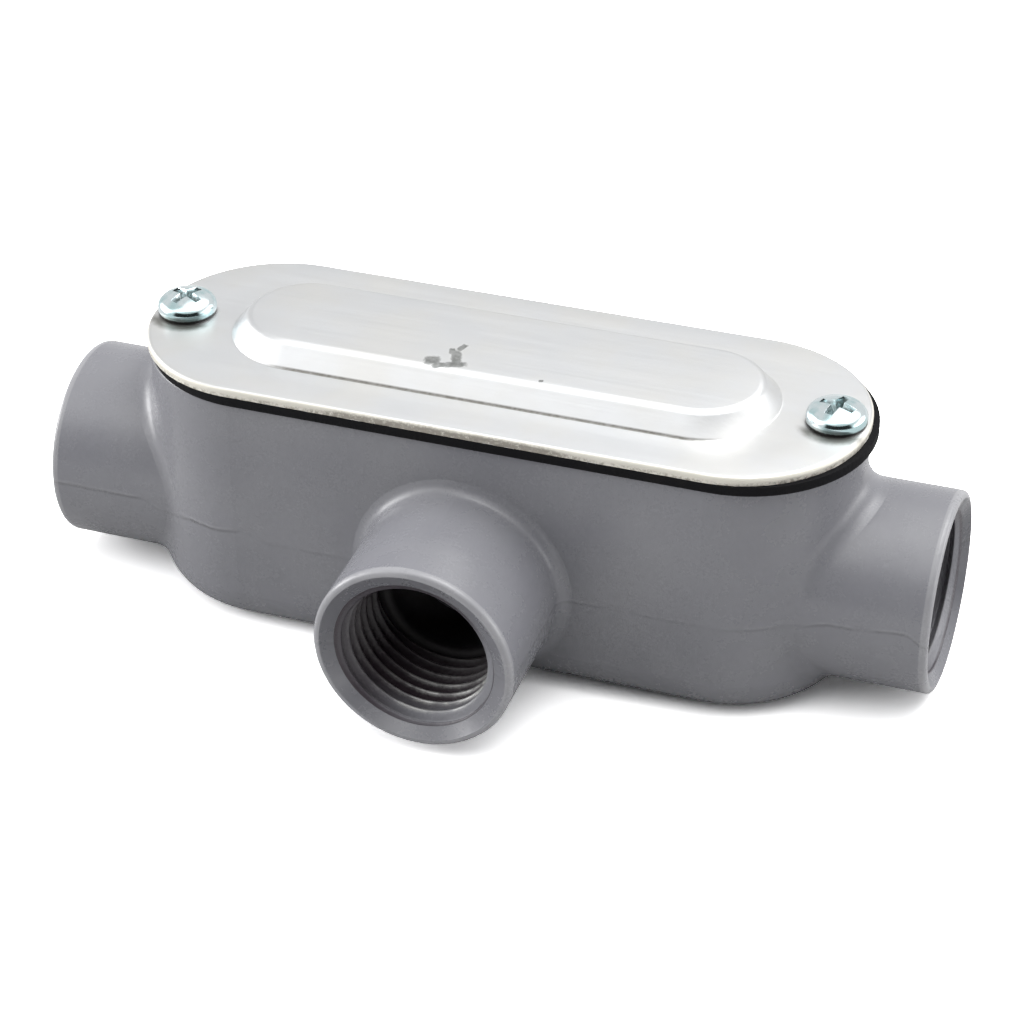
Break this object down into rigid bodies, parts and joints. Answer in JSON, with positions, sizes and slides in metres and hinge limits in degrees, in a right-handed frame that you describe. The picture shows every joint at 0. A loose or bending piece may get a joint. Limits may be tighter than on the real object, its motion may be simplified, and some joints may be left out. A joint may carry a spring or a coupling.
{
  "type": "conduit body",
  "caption": "Cast T-shaped conduit body with threaded hubs along its run and on one side, a flat back, and a stamped cover screwed down over a gasket.",
  "frame": {"origin": "On the flat back, under the crossing of the three hub axes.", "axes": "+X along the straight run, -Y out of the branch hub, +Z out of the cover."},
  "size_m": [0.12, 0.0517, 0.0404],
  "materials": {
    "casting_paint": "satin grey paint over die-cast aluminium",
    "cover_sheet": "plain mill finish, sheared edge",
    "gasket_rubber": "matte black",
    "screw_zinc": "bright zinc plate"
  },
  "bodies": {
    "root": {"body": "casting_paint", "cover": "cover_sheet", "gasket": "gasket_rubber", "screw_left": "screw_zinc", "screw_right": "screw_zinc"}
  },
  "joints": []
}
